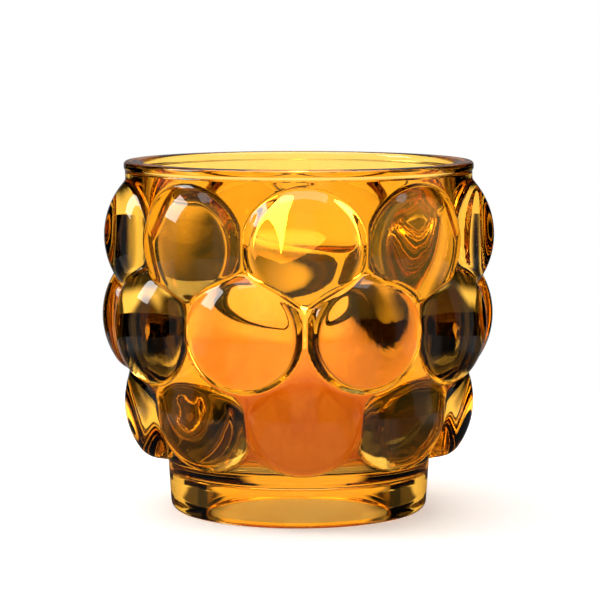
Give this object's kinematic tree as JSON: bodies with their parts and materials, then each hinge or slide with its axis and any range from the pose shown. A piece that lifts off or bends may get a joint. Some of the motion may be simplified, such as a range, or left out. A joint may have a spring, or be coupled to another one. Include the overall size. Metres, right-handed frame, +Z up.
{
  "type": "tealight holder",
  "caption": "Round pressed-glass tealight holder with staggered rows of domed bubbles on a hollow foot, holding a tealight in a clear cup.",
  "frame": {"origin": "centre of the foot, on the surface it stands on", "axes": "+Z up along the glass's axis; -Y through the crown of one bubble of the top row"},
  "size_m": [0.0902, 0.0902, 0.08],
  "materials": {
    "amber_glass": "pressed, fire-polished, transparent amber",
    "clear_cup": "clear moulded",
    "paraffin": "translucent white paraffin wax",
    "tinned_steel": "thin stamped sheet",
    "cotton": "braided cotton, burnt at the tip"
  },
  "bodies": {
    "holder": {"glass_holder": "amber_glass"},
    "tealight": {"candle_cup": "clear_cup", "wax": "paraffin", "wick_tab": "tinned_steel", "wick": "cotton"}
  },
  "joints": [
    {"name": "tealight_lift", "type": "slide", "parent": "holder", "child": "tealight", "axis": [0, 0, 1], "range_m": [0, 0.077]}
  ]
}
